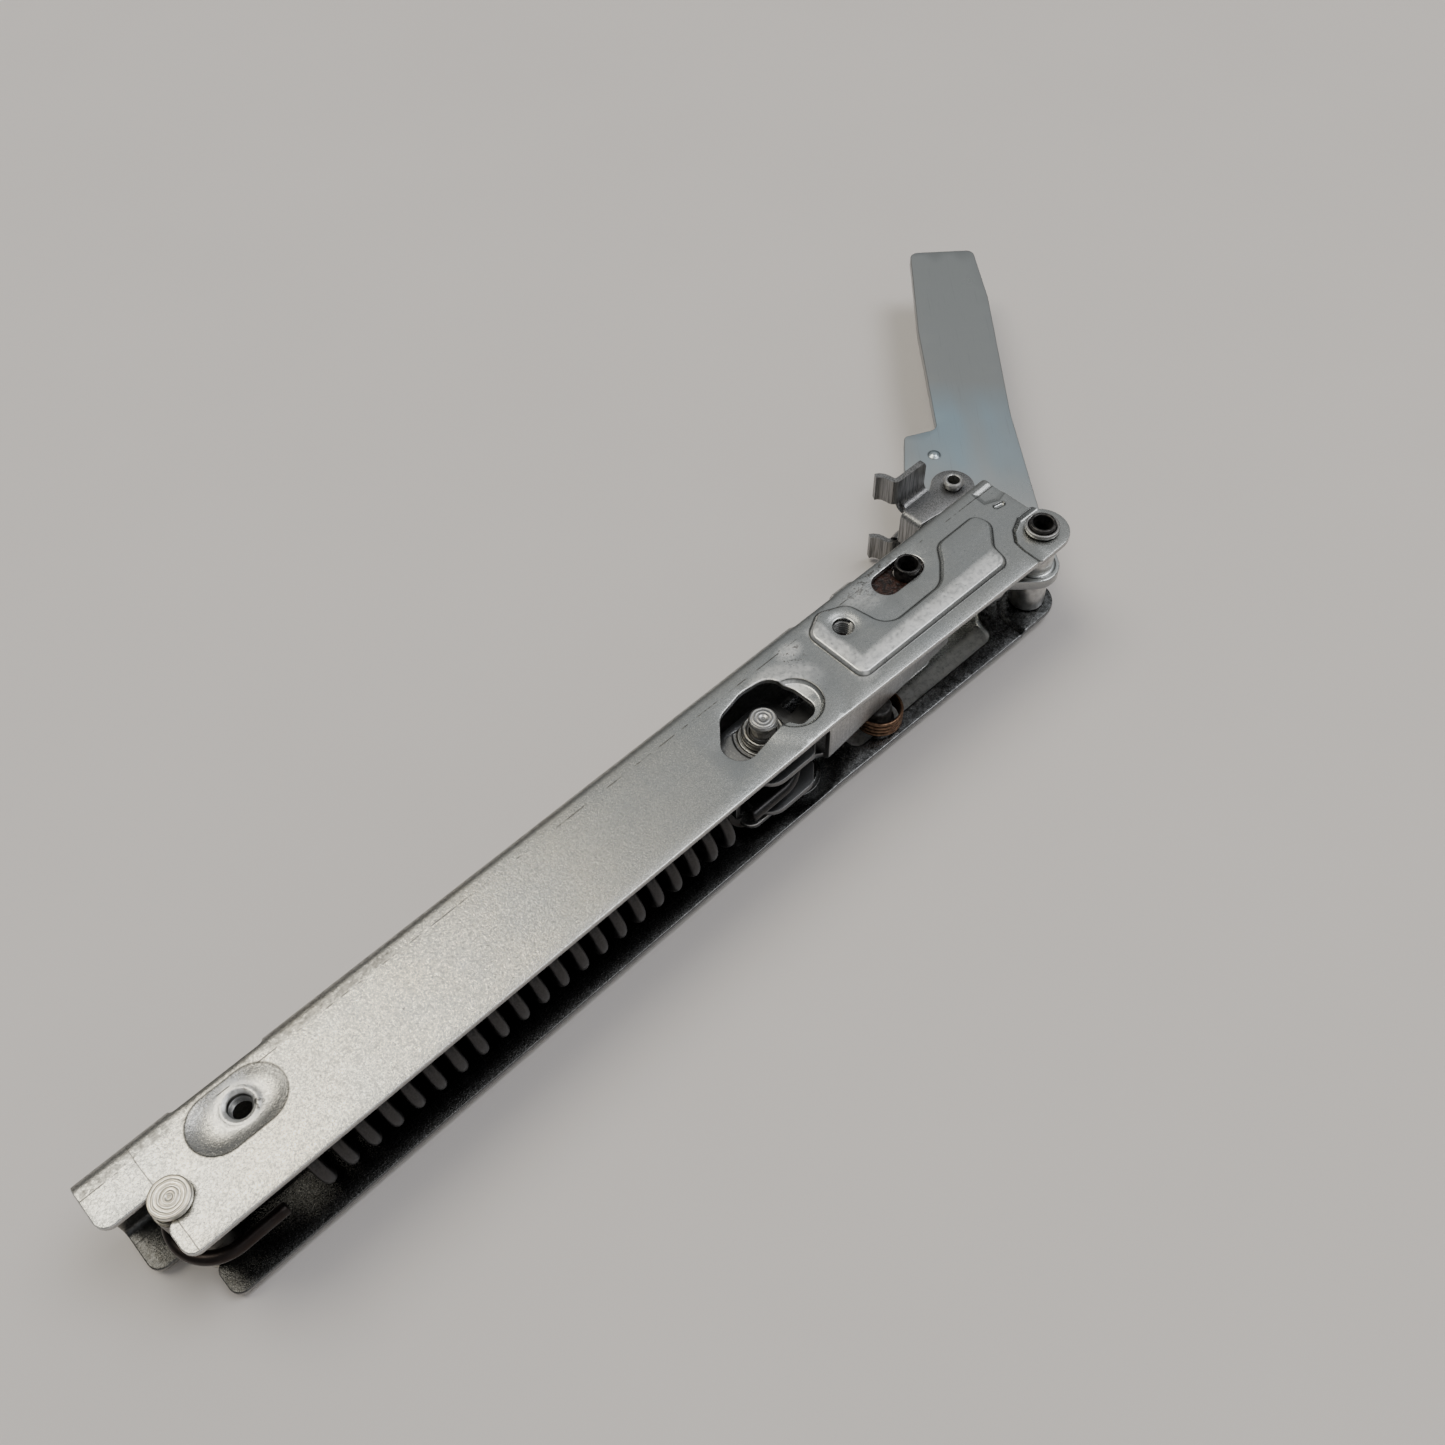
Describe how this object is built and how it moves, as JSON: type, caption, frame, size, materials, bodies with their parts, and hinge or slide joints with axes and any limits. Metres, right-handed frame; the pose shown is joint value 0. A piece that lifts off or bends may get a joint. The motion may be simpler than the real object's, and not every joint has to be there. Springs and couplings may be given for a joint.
{
  "type": "appliance door hinge",
  "caption": "Sprung door hinge: U-shaped sheet housing, door arm on a pivot, draw link, sliding spring clevis with long tension spring, and a hooked catch.",
  "frame": {"origin": "midway between the two fixing holes, on the back wall's outer face", "axes": "+X along the housing towards the door pivot, +Y from the open side towards the web, +Z square to the walls, from the back wall to the front wall"},
  "size_m": [0.3399, 0.1129, 0.0325],
  "materials": {
    "zinc_steel": "zinc plated, fine mottled grain",
    "bright_steel": "machined, lightly oiled",
    "turned_steel": "faced on a lathe, concentric marks",
    "arm_steel": "smooth, faint blue tint",
    "catch_steel": "coarsely brushed",
    "pin_steel": "ground",
    "black_steel": "black oxide",
    "spring_steel": "dark oiled wire",
    "copper_wire": "copper plated wire"
  },
  "bodies": {
    "housing": {"housing_channel": "zinc_steel", "pivot_sleeve": "black_steel", "pivot_collar_front": "zinc_steel", "pivot_collar_back": "zinc_steel", "pivot_bush_front": "bright_steel", "pivot_bush_back": "bright_steel", "anchor_pin": "turned_steel", "spring_post": "bright_steel", "return_spring": "copper_wire", "main_spring": "spring_steel"},
    "arm": {"door_arm": "arm_steel", "catch_rivet": "bright_steel", "catch_spacer_front": "zinc_steel", "catch_spacer_back": "zinc_steel", "tail_pin": "pin_steel", "tail_spacer_front": "bright_steel", "tail_spacer_back": "bright_steel"},
    "link": {"draw_link": "zinc_steel"},
    "catch": {"catch_clip": "catch_steel"},
    "clevis": {"spring_clevis": "zinc_steel", "cam_pin": "pin_steel", "cam_washer_front": "bright_steel", "cam_washer_back": "bright_steel", "cam_spacer": "bright_steel"},
    "buffer": {"buffer_sleeve": "black_steel", "buffer_shoe_front": "bright_steel", "buffer_shoe_back": "bright_steel"}
  },
  "joints": [
    {"name": "arm_pivot", "type": "hinge", "parent": "housing", "child": "arm", "pos_m": [0.1401, -0.0123, 0.01475], "axis": [0, 0, 1], "range_deg": [-49, 31]},
    {"name": "link_pivot", "type": "hinge", "parent": "arm", "child": "link", "pos_m": [0.13091, -0.00459, 0.01475], "axis": [0, 0, 1], "range_deg": [-35, 54.5]},
    {"name": "catch_pivot", "type": "hinge", "parent": "arm", "child": "catch", "pos_m": [0.1427, 0.0175, 0.01475], "axis": [0, 0, 1], "range_deg": [-45, 0]},
    {"name": "clevis_slide", "type": "slide", "parent": "housing", "child": "clevis", "axis": [1, 0, 0], "range_m": [-0.0041, 0.0064], "deforming": ["main_spring"]},
    {"name": "buffer_slide", "type": "slide", "parent": "housing", "child": "buffer", "axis": [1, 0, 0], "range_m": [-0.0075, 0]}
  ],
  "couplings": [
    {"joint": "link_pivot", "follows": "arm_pivot", "ratio": -1.1},
    {"joint": "clevis_slide", "follows": "arm_pivot", "m_per_rad": -0.00722}
  ]
}
